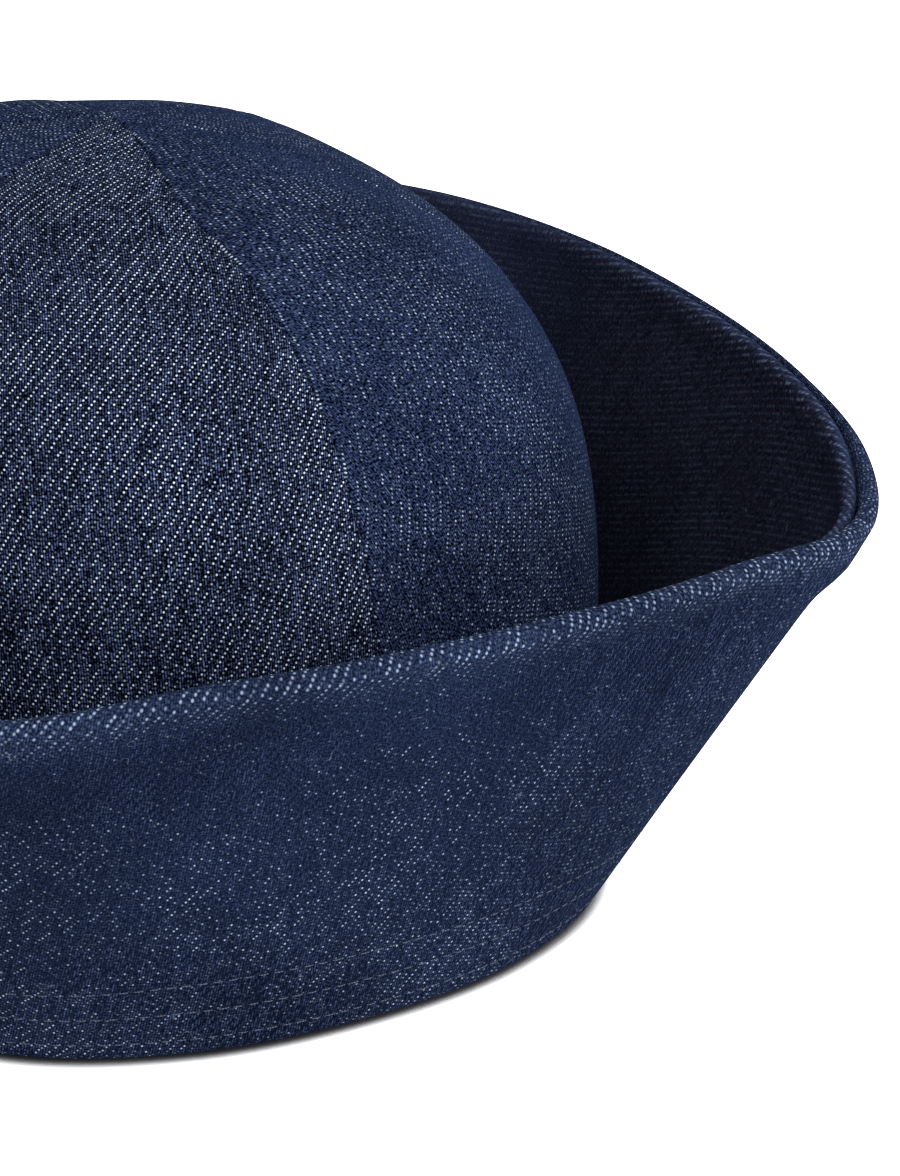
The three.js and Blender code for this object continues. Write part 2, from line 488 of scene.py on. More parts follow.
@dataclass
class Crown:
    """Six gores sewn edge to edge, each a closed shell of one denim layer with rolled seam edges.

    Soft waves are in radians a metre, drifts in radians a gore, and phases in radians from gore to gore,
    but for the second pucker phase, which is between a gore's two seams.
    """

    form: CrownForm = CrownForm()
    edge_roll: float = 0.0009
    least_rolls: float = 6.0
    seam_clear: float = 0.00002
    apex_opening: float = 0.0002
    thinning_width: float = 0.012
    thinnest: float = 0.2
    edge_steps: int = 5
    middle_steps: int = 52
    width_steps: int = 41
    rows: int = 120
    row_crowding: float = 1.25
    pucker: float = 0.00014
    pucker_pitch: float = 0.0085
    pucker_reach: float = 0.005
    pucker_phases: Pair = (2.3, 1.9)
    pucker_wander: Pair = (0.8, 0.37)
    smooth_width: float = 0.03
    softness: float = 0.00015
    soft_reach: float = 0.012
    soft_up: Pair = (61.0, 97.0)
    soft_across: Pair = (48.0, 37.0)
    soft_phases: Pair = (1.7, 2.1)
    soft_start: float = 0.6
    soft_cross: float = 0.6
    seam_wear_width: float = 0.0008
    far_seam_wear: float = 0.25
    # Nap per gore and towards the second seam: part real fuzz, part painted sheen of the gores seen edge-on
    # from the front-left.
    panel_nap_and_sheen: tuple[float, ...] = (0.47, 0.47, 0.42, 0.38, 0.3, 0.0)
    nap_drift: float = 0.25
    drift_across: Pair = (5.2, -3.0)
    drift_up: Pair = (7.0, 9.0)
    drift_phases: Pair = (2.0, 1.0)
    far_nap_and_sheen: float = 0.5
    far_nap_and_sheen_span: Pair = (0.35, 0.95)
    most_nap: float = 0.82
    grain_turns: tuple[float, ...] = (10.0, 10.0, 0.0, 0.0, 0.0, 0.0)
    pieces: list[bpy.types.Object] = field(default_factory=list)

    def build(self, outside: bpy.types.Material, inside: bpy.types.Material) -> None:
        """Makes the six gores and dresses them.

        Args:
            outside: finish of the right side of the cloth.
            inside: finish of the wrong side, in the head hollow.
        """
        for panel in range(self.form.panels):
            piece = self.gore(panel)
            piece.data.materials.append(outside)
            piece.data.materials.append(inside)
            piece.data.polygons.foreach_set("material_index", self.sides())
            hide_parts(f"crown_panel_{panel + 1}")
            self.pieces.append(piece)

    def columns(self) -> int:
        """Points across a gore."""
        return 2 * self.edge_steps + self.middle_steps + 1

    def roll(self, width: Array) -> Array:
        """Radius of the rolled seam edges, less where a gore is narrow, as a column."""
        return np.minimum(self.edge_roll, width / self.least_rolls)[:, None]

    def across(self, width: Array) -> Array:
        """Distances from the first seam, close together where the edges roll.

        Args:
            width: the gore's width at each row.

        Returns:
            Distances, rows by columns.
        """
        roll = self.roll(width)
        turns = np.linspace(0, math.pi / 2, self.edge_steps, endpoint=False)
        edge = roll * (1 - np.cos(turns))[None, :]
        share = np.linspace(0, 1, self.middle_steps + 1)[None, :]
        middle = roll + (width[:, None] - 2 * roll) * share
        return np.concatenate([edge, middle, width[:, None] - edge[:, ::-1]], axis=1)

    def relief(self, panel: int, x: Array, up: Array, width: Array) -> Array:
        """How far the cloth stands in or out of the crown's plain shape.

        Args:
            panel: the gore's place.
            x: distance from the first seam.
            up: distance up from the foot.
            width: the gore's width at each row.

        Returns:
            Distances along the outward direction.
        """
        to_seam = np.minimum(x, width[:, None] - x)
        roll = self.roll(width)
        inside = np.clip(roll - to_seam, 0, roll)
        rolled = roll - np.sqrt(np.maximum(roll**2 - inside**2, 0))
        fade = np.clip(width / self.smooth_width, 0, 1)[:, None]
        slow = self.slow_waves(panel, x, up[:, None]) * smoothstep(to_seam, 0, self.soft_reach)
        side = np.where(x < width[:, None] / 2, 0.0, self.pucker_phases[1])
        phase = 2 * math.pi * up[:, None] / self.pucker_pitch + self.pucker_phases[0] * panel + side
        wander = self.pucker_wander[0] * np.sin(phase * self.pucker_wander[1])
        puckers = np.sin(phase + wander) * np.exp(-to_seam / self.pucker_reach)
        return fade * (self.pucker * puckers + self.softness * slow) - rolled

    def slow_waves(self, panel: int, x: Array, up: Array) -> Array:
        """Soft unevenness of a gore's cloth: one wave up by one across, and a smaller one that leans.

        Args:
            panel: the gore's place.
            x: distance from the first seam.
            up: distance up from the foot.

        Returns:
            The waves, where 1 is the height of the first.
        """
        upright = np.sin(self.soft_up[0] * up + self.soft_phases[0] * panel)
        level = np.sin(self.soft_across[0] * x + self.soft_start + panel)
        leaning = np.sin(self.soft_up[1] * up + self.soft_across[1] * x + self.soft_phases[1] * panel)
        return upright * level + self.soft_cross * leaning

    def gore(self, panel: int) -> bpy.types.Object:
        """Makes one gore.

        Args:
            panel: the gore's place, 0 to 5 round from the front seam.

        Returns:
            The gore's object.
        """
        form = self.form
        length = form.profile()[0][-1]
        start = (form.brim.cloth + form.foot_gap) / length
        end = 1 - self.apex_opening / length
        walk = np.linspace(0, 1, self.rows)
        along = start + (end - start) * (1 - (1 - walk) ** self.row_crowding)
        even = np.linspace(0, 1, self.width_steps)[None, :]
        width = arc_lengths(form.dome(panel + even, along[:, None]))[:, -1]
        x = np.clip(self.across(width), self.seam_clear, width[:, None] - self.seam_clear)
        share = x / width[:, None]
        normal = form.normal(panel + share, along[:, None])
        puff = form.puff(panel, share, along[:, None])
        plain = form.dome(panel + share, along[:, None]) + normal * puff[..., None]
        up = along * length
        relief = self.relief(panel, x, up, width)
        outer = plain + normal * relief[..., None]
        depth = form.cloth * np.clip(width / self.thinning_width, self.thinnest, 1)[:, None, None]
        inner = plain - normal * depth
        grain = self.grain(panel, x - width[:, None] / 2, up[:, None])
        far = width[:, None] - x
        wear = np.exp(-((x / self.seam_wear_width) ** 2))
        wear = wear + self.far_seam_wear * np.exp(-((far / self.seam_wear_width) ** 2))
        nap = np.tile(self.nap(panel, share, along[:, None]).ravel(), 2)
        faces = self.shell_faces()
        flat_grain = np.concatenate([grain.reshape(-1, 2)] * 2)
        parts = MeshParts(
            np.concatenate([outer.reshape(-1, 3), inner.reshape(-1, 3)]),
            faces,
            flat_grain[faces],
            np.concatenate([wear.ravel(), np.zeros(wear.size)]),
            nap,
            weft_through(nap),
        )
        return parts.build(f"crown_gore_{panel + 1}")

    def grain(self, panel: int, beside: Array, up: Array) -> Array:
        """Places on the flat cloth, whose warp is turned a little from the gore's middle line.

        Args:
            panel: the gore's place.
            beside: distance to the right of the middle line.
            up: distance up from the foot.

        Returns:
            Distance across and up the cloth.
        """
        turn = math.radians(self.grain_turns[panel])
        across = beside * math.cos(turn) + up * math.sin(turn)
        return np.stack([across, up * math.cos(turn) - beside * math.sin(turn)], axis=-1)

    def nap(self, panel: int, share: Array, along: Array) -> Array:
        """How much fuzz hides the weave, part real nap and part painted sheen: none on the gore that faces
        the front-left, and more towards each gore's second seam, where it stands in for the smooth blue
        sheen of cloth seen edge-on.

        Args:
            panel: the gore's place.
            share: 0 to 1 across the gore.
            along: 0 at the foot to 1 at the apex.

        Returns:
            The nap, 0 to 1.
        """
        drift = 1.0
        for across, up, phase in zip(self.drift_across, self.drift_up, self.drift_phases):
            drift = drift * np.sin(across * share + up * along + phase * panel)
        far = self.far_nap_and_sheen * smoothstep(share, *self.far_nap_and_sheen_span)
        fuzz = self.panel_nap_and_sheen[panel] * (1 + self.nap_drift * drift + far)
        return np.clip(fuzz, 0, self.most_nap)

    def shell_faces(self) -> Array:
        """Faces of a closed shell between two grids, the outer one first.

        Returns:
            Point numbers, one face to a line.
        """
        columns = self.columns()
        count = self.rows * columns
        number = np.arange(count).reshape(self.rows, columns)
        outside = grid_faces(self.rows, columns)
        edges = [number[0, ::-1], number[:, 0], number[-1, :], number[::-1, -1]]
        walls = [np.stack([e[1:], e[:-1], e[:-1] + count, e[1:] + count], axis=-1) for e in edges]
        return np.concatenate([outside, outside[:, ::-1] + count, *walls])

    def sides(self) -> Array:
        """Material number of each face: 0 for the right side, 1 for the wrong side."""
        outside = (self.rows - 1) * (self.columns() - 1)
        walls = 2 * (self.rows - 1) + 2 * (self.columns() - 1)
        return np.concatenate([np.zeros(outside), np.ones(outside), np.zeros(walls)]).astype(np.int32)


class BrimWave(NamedTuple):
    """One soft wave of the brim: height, waves round the hat and radians a metre up it, with phases."""

    height: float
    around: float
    around_phase: float
    up: float
    up_phase: float


BRIM_WAVES = (
    BrimWave(1.0, 3, 0.7, 52, 0.4),
    BrimWave(0.7, 7, 1.9, 71, 1.3),
)
LEANING_BRIM_WAVE = BrimWave(0.4, 13, 4.1, 30, 0.0)


@dataclass(frozen=True)
class BrimFuzz:
    """Where the brim's outer layer is rubbed, where fuzz covers it and where its weft shows.

    The rubbed and corner spans are in degrees from the front, the others in metres up the cloth.
    """

    rubbed_span: Pair = (34.0, 58.0)
    unworn_back: float = 0.85
    corner_span: Pair = (-5.0, 35.0)
    low_nap: float = 0.45
    upper_nap: float = 0.4
    corner_nap_loss: float = 0.55
    upper_span: Pair = (0.012, 0.05)
    nap_drift: float = 0.1
    low_weft: float = 0.55
    corner_weft_loss: float = 0.2
    rim_weft_loss: float = 0.75
    corner_weft_kept: float = 0.4
    rim_span: Pair = (0.05, 0.08)
    weft_drift: float = 0.35
    drift_around: float = 9.0
    drift_up: Pair = (70.0, 46.0)
    drift_start: float = 1.0

    def rubbed(self, azimuth: Array) -> Array:
        """How worn the outer layer's rim is: most at the front, least at the back."""
        return 1 - self.unworn_back * smoothstep(np.abs(azimuth), *self.rubbed_span)

    def nap(self, azimuth: Array, cloth: Array) -> Array:
        """How much fuzz hides the weave: most of it high on the front, and less high on the corner.

        Args:
            azimuth: degrees from the front, down the rows.
            cloth: distance up the cloth from the fold, along the columns.

        Returns:
            The nap, 0 to 1.
        """
        upper = smoothstep(cloth, *self.upper_span)[None, :]
        corner = smoothstep(azimuth, *self.corner_span)
        rise = (self.upper_nap - self.corner_nap_loss * corner) * upper
        return np.clip(self.low_nap + rise + self.nap_drift * self.drift(azimuth, cloth), 0, 1)

    def weft(self, azimuth: Array, cloth: Array) -> Array:
        """How much weft shows: most of it low on the brim, and least just below the rim.

        Args:
            azimuth: degrees from the front, down the rows.
            cloth: distance up the cloth from the fold, along the columns.

        Returns:
            The share that shows, 0 to 1.
        """
        corner = smoothstep(azimuth, *self.corner_span)
        loss = self.rim_weft_loss - self.corner_weft_kept * corner
        height = 1 - loss * smoothstep(cloth, *self.rim_span)[None, :]
        low = self.low_weft - self.corner_weft_loss * corner
        return np.clip(low * height * (1 + self.weft_drift * self.drift(azimuth, cloth)), 0, 1)

    def drift(self, azimuth: Array, cloth: Array) -> Array:
        """A slow change over the brim, from -1 to 1.

        Args:
            azimuth: degrees from the front, down the rows.
            cloth: distance up the cloth from the fold, along the columns.

        Returns:
            The change at each azimuth and distance.
        """
        leaning = np.radians(self.drift_around * azimuth) + self.drift_up[0] * cloth[None, :]
        return np.sin(leaning) * np.sin(self.drift_up[1] * cloth[None, :] + self.drift_start)


@dataclass
class Brim:
    """The turned-up brim: an outer layer with the bottom fold, and a facing, each with a rolled rim edge.

    Beads and drops give the front's size first and the back's second. Wear and rim nap set in or end
    between two places up the cloth, counted from where the rim starts to roll. Where the outer layer's
    wear ends is counted from the rim's crest.
    """

    form: BrimForm = BrimForm()
    fuzz: BrimFuzz = BrimFuzz()
    grain: ClothGrain = ClothGrain()
    facing_grain: ClothGrain = ClothGrain(inner_radius=0.226, lean=0.16)
    stitch_rows: tuple[float, ...] = (0.005, 0.0128, 0.0206)
    stitch_groove: float = 0.00012
    groove_width: float = 0.0005
    groove_steps: tuple[float, ...] = (-0.9 * MM, -0.45 * MM, 0.0, 0.45 * MM, 0.9 * MM)
    outer_beads: Pair = (0.002, 0.0011)
    facing_beads: Pair = (0.0012, 0.0017)
    facing_drops: Pair = (0.0043, 0.0001)
    roll_span: Pair = (25.0, 58.0)
    bead_proud: float = 0.0007
    corner_proud: float = 0.0017
    corner_azimuth: float = 35.0
    corner_width: float = 9.0
    corner_slant: float = 0.0875
    corner_height: float = 0.006
    facing_start: float = 0.007
    layer_gap: float = 0.0003
    bead_reach: float = 0.0045
    facing_reach: float = 0.006
    softness: float = 0.00015
    soft_span: Pair = (0.004, 0.03)
    waves: tuple[BrimWave, ...] = BRIM_WAVES
    leaning_wave: BrimWave = LEANING_BRIM_WAVE
    wear_start: Pair = (-0.0075, 0.0012)
    wear_end: Pair = (0.003, 0.005)
    facing_wear_start: Pair = (-0.0045, -0.0015)
    facing_wear_end: Pair = (-0.0005, 0.001)
    facing_wear_span: Pair = (60.0, 110.0)
    unworn_facing: float = 0.5
    facing_rim_nap: Pair = (-0.002, 0.0005)
    facing_back_nap: float = 0.7
    facing_back_span: Pair = (82.0, 108.0)
    seam_roll: float = 0.0008
    seam_radius: float = 0.11
    seam_steps: tuple[float, ...] = (0.08, 0.18, 0.3, 0.45)
    around_steps: int = 480
    slant_start: float = 0.0034
    slant_step: float = 0.0024
    lip_steps: int = 5
    fold_steps: int = 9
    rim_steps: int = 15
    inner_steps: int = 16
    inner_fold_steps: int = 5
    inner_lip_end: float = 0.5
    behind_steps: int = 20
    facing_rim_steps: int = 13
    hem_steps: int = 7
    pieces: list[bpy.types.Object] = field(default_factory=list)

    def build(self, outside: bpy.types.Material, facing: bpy.types.Material) -> None:
        """Makes the two layers and dresses them.

        Args:
            outside: finish of the outer layer.
            facing: finish of the facing.
        """
        shell = self.outer_layer()
        shell.data.materials.append(outside)
        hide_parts("brim_outer")
        lining = self.facing_layer()
        lining.data.materials.append(facing)
        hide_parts("brim_inner")
        self.pieces += [shell, lining]

    def azimuths(self) -> Array:
        """Azimuths of the outlines, closer together at the back seam."""
        even = np.linspace(-180, 180, self.around_steps + 1)
        close = np.array(self.seam_steps)
        return np.unique(np.concatenate([even, close - 180, 180 - close]))

    def relief(self, azimuth: Array, slant: Array) -> Array:
        """How far the cloth lies below the plain slant: soft waves, seam valley and the fuller corners.

        Args:
            azimuth: degrees from the front.
            slant: distance up the slant.

        Returns:
            Depths, for each azimuth and slant.
        """
        angle = np.radians(azimuth)
        leaning = self.leaning_wave
        phase = leaning.around * angle + leaning.around_phase + leaning.up * slant + leaning.up_phase
        waves = leaning.height * np.sin(phase)
        for wave in self.waves:
            around = np.sin(wave.around * angle + wave.around_phase)
            waves = waves + wave.height * around * np.sin(wave.up * slant + wave.up_phase)
        to_seam = np.radians(180 - np.abs(azimuth)) * self.seam_radius
        inside = np.clip(self.seam_roll - to_seam, 0, self.seam_roll)
        valley = self.seam_roll - np.sqrt(self.seam_roll**2 - inside**2)
        corner = np.exp(-(((np.abs(azimuth) - self.corner_azimuth) / self.corner_width) ** 2))
        high = np.exp(-(((slant - self.corner_slant) / self.corner_height) ** 2))
        full = self.corner_proud * corner * high
        return self.softness * waves * smoothstep(slant, *self.soft_span) + valley - full

    def grooves(self, slant: Array) -> Array:
        """Depth of the grooves that the stitch rows press into the cloth."""
        depth = np.zeros_like(slant)
        for row in self.stitch_rows:
            depth = depth + self.stitch_groove * np.exp(-(((slant - row) / self.groove_width) ** 2))
        return depth

    def slants(self, start: float, end: float) -> Array:
        """Places up the slant, closer together across each stitch row.

        Args:
            start: the lowest place.
            end: the highest place.

        Returns:
            The places, growing.
        """
        even = np.linspace(start, end, round((end - start) / self.slant_step) + 1)
        near = [row + side for row in self.stitch_rows for side in self.groove_steps]
        extra = [place for place in near if start < place < end]
        return np.unique(np.concatenate([even, extra]))

    def outer_layer(self) -> bpy.types.Object:
        """Makes the outer layer: lip, bottom fold, slant, rolled rim and back down inside.

        Returns:
            The layer's object.
        """
        form = self.form
        azimuths = self.azimuths()
        az = azimuths[:, None]
        bead = self.rolled(az, self.outer_beads)
        top = form.slant - bead
        front_top = form.slant - self.outer_beads[0]
        plain = self.slants(self.slant_start, front_top)[None, :]
        out = plain + (top - front_top) * plain / front_top
        turn = np.linspace(0, math.pi, self.rim_steps)[None, 1:-1]
        back = top + (form.fold_radius * 2 - top) * np.linspace(0, 1, self.inner_steps)[None, :]
        swell = (2 * bead - self.bead_proud - form.cloth) * smoothstep(back, top - self.bead_reach, top)
        face = self.relief(az, out) - self.bead_proud * smoothstep(out, top - self.bead_reach, top)
        rim_shift = self.relief(az, top) - self.bead_proud
        runs = [
            form.lip_point(az, np.linspace(0, 1, self.lip_steps)[None, :-1], 0.0),
            form.fold_point(az, np.linspace(0, 1, self.fold_steps)[None, :], 0.0),
            form.slant_point(az, out, face + self.grooves(out)),
            form.slant_point(az, top + bead * np.sin(turn), rim_shift + bead - bead * np.cos(turn)),
            form.slant_point(az, back, form.cloth + swell + self.relief(az, back)),
            form.fold_point(az, np.linspace(1, 0, self.inner_fold_steps)[None, :], form.cloth),
            form.lip_point(az, np.array([[self.inner_lip_end, 0.0]]), form.cloth),
        ]
        points = np.concatenate(runs, axis=1)
        walked = self.front_walk(azimuths, points)
        first = runs[0].shape[1] + runs[1].shape[1]
        cloth = walked - walked[first] + plain[0, 0]
        grain = self.grain.at(form, azimuths, cloth, 1.0)
        rim = front_top + self.outer_beads[0] * math.pi / 2
        worn = ramp(cloth, front_top, self.wear_start) * (1 - ramp(cloth, rim, self.wear_end))
        wear = worn[None, :] * self.fuzz.rubbed(az[:-1])
        nap = self.fuzz.nap(az[:-1], cloth)
        weft = self.fuzz.weft(az[:-1], cloth)
        return ring_parts(points[:-1], grain, wear, nap, weft).build("brim_shell")

    def front_walk(self, azimuths: Array, points: Array) -> Array:
        """Distance walked along the outline at the front."""
        return arc_lengths(points[int(np.argmin(np.abs(azimuths)))])

    def rolled(self, azimuth: Array, sizes: Pair) -> Array:
        """A size of the rim seam, which rolls inwards at the front and outwards at the back.

        Args:
            azimuth: degrees from the front.
            sizes: the size at the front and at the back.

        Returns:
            The size there.
        """
        return sizes[0] + (sizes[1] - sizes[0]) * smoothstep(np.abs(azimuth), *self.roll_span)

    def facing_layer(self) -> bpy.types.Object:
        """Makes the facing: up behind the outer layer, over its own rolled edge and down the visible side.

        Returns:
            The layer's object.
        """
        form = self.form
        azimuths = self.azimuths()
        az = azimuths[:, None]
        bead = self.rolled(az, self.facing_beads)
        top = form.slant - self.rolled(az, self.facing_drops) - bead
        front_top = form.slant - self.facing_drops[0] - self.facing_beads[0]
        half = form.cloth / 2
        low = self.facing_start + half
        stretch = (top - low) / (front_top - low)
        behind = low + stretch * (np.linspace(low, front_top, self.behind_steps)[None, :] - low)
        turn = np.linspace(0, math.pi, self.facing_rim_steps)[None, 1:-1]
        down = low + stretch * (self.slants(low, front_top)[None, ::-1] - low)
        under = np.linspace(math.pi, 0, self.hem_steps)[None, 1:-1]
        depth = form.cloth + self.layer_gap
        outer_bead = self.rolled(az, self.outer_beads)
        outer_top = form.slant - outer_bead
        push = smoothstep(top + bead, outer_top - self.bead_reach, outer_top)
        push = push * (2 * outer_bead - self.bead_proud - form.cloth)
        swell = 2 * bead - form.cloth
        lift_behind = push * smoothstep(behind, top - self.facing_reach, top)
        lift_down = (push + swell) * smoothstep(down, top - self.facing_reach, top)
        rim_shift = self.relief(az, top)
        edge = depth + push + bead
        face = depth + form.cloth + lift_down + self.relief(az, down) - self.grooves(down)
        runs = [
            form.slant_point(az, behind, depth + lift_behind + self.relief(az, behind)),
            form.slant_point(az, top + bead * np.sin(turn), rim_shift + edge - bead * np.cos(turn)),
            form.slant_point(az, down, face),
            form.slant_point(az, low - half * np.sin(under), depth + half - half * np.cos(under)),
        ]
        points = np.concatenate(runs, axis=1)
        walked = self.front_walk(azimuths, points)
        rim = runs[0].shape[1] + runs[1].shape[1] // 2
        cloth = front_top + walked[rim] - walked
        grain = self.facing_grain.at(form, azimuths, cloth, -1.0)
        worn = ramp(cloth, front_top, self.facing_wear_start)
        worn = worn * (1 - ramp(cloth, front_top, self.facing_wear_end))
        wear = worn[None, :] * (1 - self.unworn_facing * smoothstep(np.abs(az[:-1]), *self.facing_wear_span))
        # Over the roll the lighter nap colour covers the dark warp, so the facing's painted shade ends at
        # the rim.
        rim_nap = np.broadcast_to(ramp(cloth, front_top, self.facing_rim_nap), wear.shape)
        back_nap = self.facing_back_nap * smoothstep(np.abs(az[:-1]), *self.facing_back_span)
        nap = np.maximum(rim_nap, back_nap)
        return ring_parts(points[:-1], grain, wear, nap, weft_through(rim_nap)).build("brim_facing_cloth")


@dataclass
class Topstitching:
    """Rows of lockstitch round the lower brim, on both of its faces."""

    brim: Brim
    pitch: float = 0.0026
    gap: float = 0.0003
    thread: float = 0.00012
    proud: float = 0.00006
    sunk: float = 0.00034
    arch_power: float = 0.45
    end_thickness: float = 0.45
    taper_power: float = 0.4
    path_steps: int = 8
    around_steps: int = 1441
    sides: int = 6
    pieces: list[bpy.types.Object] = field(default_factory=list)

    def build(self, finish: bpy.types.Material) -> None:
        """Makes the thread of the outer face and of the facing.

        Args:
            finish: the thread's finish.
        """
        form = self.brim.form
        facing_depth = 2 * form.cloth + self.brim.layer_gap
        inner_rows = [row for row in self.brim.stitch_rows if row > self.brim.facing_start + form.cloth]
        outer = self.rows("brim_topstitch", list(self.brim.stitch_rows), 0.0, -1.0)
        inner = self.rows("facing_topstitch", inner_rows, facing_depth, 1.0)
        for piece, slot in ((outer, Slot.BRIM), (inner, Slot.FACING)):
            piece.data.materials.append(finish)
            self.pieces.append(piece)

    def rows(self, name: str, rows: list[float], depth: float, outward: float) -> bpy.types.Object:
        """Makes all the stitches of one face of the brim as one joined mesh.

        Args:
            name: the piece's name.
            rows: places of the rows up the slant.
            depth: depth of the sewn face below the brim's outer face.
            outward: -1 if the thread stands out of the outer face, 1 if out of the facing.

        Returns:
            The joined mesh object.
        """
        points = [self.row_points(row, depth, outward) for row in rows]
        tubes = np.concatenate(points)
        count, rings, sides = tubes.shape[:3]
        faces = self.tube_faces(rings, sides)
        every = (np.arange(count)[:, None, None] * rings * sides + faces[None]).reshape(-1, 4)
        length = np.linspace(0, self.pitch, rings)[None, :, None]
        turn = np.linspace(0, 1, sides, endpoint=False)[None, None, :]
        along = length + np.arange(count)[:, None, None] * self.pitch
        grain = np.stack(np.broadcast_arrays(turn * 2 * math.pi * self.thread, along), axis=-1)
        none = np.zeros(count * rings * sides)
        return MeshParts(tubes, every, grain.reshape(-1, 2)[every], none, none, none).build(name)

    def row_points(self, row: float, depth: float, outward: float) -> Array:
        """Tube points of every stitch in one row.

        Args:
            row: place of the row up the slant.
            depth: depth of the sewn face below the brim's outer face.
            outward: -1 if the thread stands out of the outer face, 1 if out of the facing.

        Returns:
            Points: stitches, rings along each, and sides round each ring.
        """
        form = self.brim.form
        around = np.linspace(-180, 180, self.around_steps)
        walked = arc_lengths(form.slant_point(around, row, depth))
        count = round(walked[-1] / self.pitch)
        step = walked[-1] / count
        share = np.linspace(0, 1, self.path_steps)
        spots = np.arange(count)[:, None] * step + self.gap / 2 + (step - self.gap) * share[None, :]
        azimuth = np.interp(spots, walked, around)
        bow = np.sin(math.pi * share)
        height = -self.sunk + (self.sunk + self.proud) * bow**self.arch_power
        groove = float(self.brim.grooves(np.array([row]))[0])
        level = np.full_like(azimuth, row)
        flat = self.brim.relief(azimuth, level)
        inset = depth + flat - outward * groove + outward * height[None, :]
        centre = form.slant_point(azimuth, level, inset)
        across = form.slant_point(azimuth, level + MM, inset) - centre
        across /= np.linalg.norm(across, axis=-1, keepdims=True)
        out = form.slant_point(azimuth, level, inset - MM) - centre
        out /= np.linalg.norm(out, axis=-1, keepdims=True)
        turn = np.linspace(0, 2 * math.pi, self.sides, endpoint=False)
        thick = self.thread * (self.end_thickness + (1 - self.end_thickness) * bow**self.taper_power)
        ring = np.cos(turn)[:, None] * out[..., None, :] + np.sin(turn)[:, None] * across[..., None, :]
        return centre[..., None, :] + thick[None, :, None, None] * ring

    def tube_faces(self, rings: int, sides: int) -> Array:
        """Faces of one closed tube with six sides.

        Args:
            rings: rings of points along the tube.
            sides: points round a ring.

        Returns:
            Point numbers, one face to a line.
        """
        i = np.arange(rings - 1)[:, None] * sides
        j = np.arange(sides)[None, :]
        k = (j + 1) % sides
        walls = np.stack([i + j, i + k, i + sides + k, i + sides + j], axis=-1).reshape(-1, 4)
        start = np.array([[0, 3, 2, 1], [0, 5, 4, 3]])
        end = np.array([[0, 1, 2, 3], [0, 3, 4, 5]]) + (rings - 1) * sides
        return np.concatenate([walls, start, end])


class Wiring:
    """Adds and links the nodes of one node tree."""

    def __init__(self, tree: bpy.types.NodeTree) -> None:
        """Keeps the tree that the nodes go into."""
        self.tree = tree

    def add(self, kind: str, **settings: object) -> Node:
        """Adds a node and sets its properties.

        Args:
            kind: Blender's name for the node type.
            settings: properties by name.

        Returns:
            The node.
        """
        node = self.tree.nodes.new(kind)
        for name, value in settings.items():
            setattr(node, name, value)
        return node

    def feed(self, socket: Socket, value: Feed) -> None:
        """Links an output to an input, or sets the input to a plain value.

        Args:
            socket: the input.
            value: an output socket, a number or a colour.
        """
        if isinstance(value, bpy.types.NodeSocket):
            self.tree.links.new(value, socket)
        else:
            socket.default_value = value

    def math(self, operation: str, *values: Feed) -> Socket:
        """A sum on numbers.

        Args:
            operation: Blender's name for it.
            values: its inputs in order.

        Returns:
            The result.
        """
        node = self.add("ShaderNodeMath", operation=operation)
        for socket, value in zip(node.inputs, values):
            self.feed(socket, value)
        return node.outputs[0]

    def step(self, value: Feed, low: Feed, high: Feed) -> Socket:
        """A soft step of a value from 0 at low to 1 at high, which may run either way."""
        return self.span(value, low, high, 0.0, 1.0)

    def span(self, value: Feed, low: Feed, high: Feed, first: Feed, last: Feed) -> Socket:
        """A soft step of a value between two results.

        Args:
            value: what is read.
            low: where the result is first.
            high: where the result is last.
            first: result at low.
            last: result at high.

        Returns:
            The result.
        """
        node = self.add("ShaderNodeMapRange", interpolation_type="SMOOTHSTEP")
        given = {"Value": value, "From Min": low, "From Max": high, "To Min": first, "To Max": last}
        for name, plain in given.items():
            self.feed(node.inputs[name], plain)
        return node.outputs["Result"]

    def mix(self, share: Feed, first: Feed, second: Feed, blend: str = "MIX") -> Socket:
        """A mix of two colours.

        Args:
            share: share of the second.
            first: the first colour.
            second: the second colour.
            blend: Blender's name for the way of mixing.

        Returns:
            The mixed colour.
        """
        node = self.add("ShaderNodeMix", data_type="RGBA", blend_type=blend)
        for number, value in zip(MIX_COLOUR_INPUTS, (share, first, second)):
            self.feed(node.inputs[number], value)
        return node.outputs[MIX_COLOUR_OUTPUT]

    def noise(self, place: Socket, scale: float, detail: float = 2.0) -> Node:
        """A cloudy pattern.

        Args:
            place: where it is read.
            scale: clouds in a metre.
            detail: how many finer layers it has.

        Returns:
            The node, with a value output and a colour output.
        """
        node = self.add("ShaderNodeTexNoise", noise_dimensions="3D")
        self.feed(node.inputs["Vector"], place)
        self.feed(node.inputs["Scale"], scale)
        self.feed(node.inputs["Detail"], detail)
        return node

    def layer(self, name: str) -> Socket:
        """The values of one of the mesh's point layers."""
        return self.add("ShaderNodeAttribute", attribute_name=name).outputs["Fac"]

    def scatter(self, x: Feed, y: Feed) -> Node:
        """A chance value for each pair of whole numbers.

        Args:
            x: the first number.
            y: the second number.

        Returns:
            The node, with a value output and a colour output.
        """
        pair = self.add("ShaderNodeCombineXYZ")
        self.feed(pair.inputs[0], x)
        self.feed(pair.inputs[1], y)
        node = self.add("ShaderNodeTexWhiteNoise", noise_dimensions="2D")
        self.tree.links.new(pair.outputs[0], node.inputs["Vector"])
        return node


class OpenMaterial(NamedTuple):
    """A material under way: itself, the wiring of its nodes and its shader."""

    material: bpy.types.Material
    wiring: Wiring
    shader: Node


def open_material(name: str) -> OpenMaterial:
    """Starts a material with the usual shader.

    Args:
        name: the material's name.

    Returns:
        The material with its wiring and its shader.
    """
    material = bpy.data.materials.new(name)
    material.use_nodes = True
    return OpenMaterial(material, Wiring(material.node_tree), material.node_tree.nodes["Principled BSDF"])


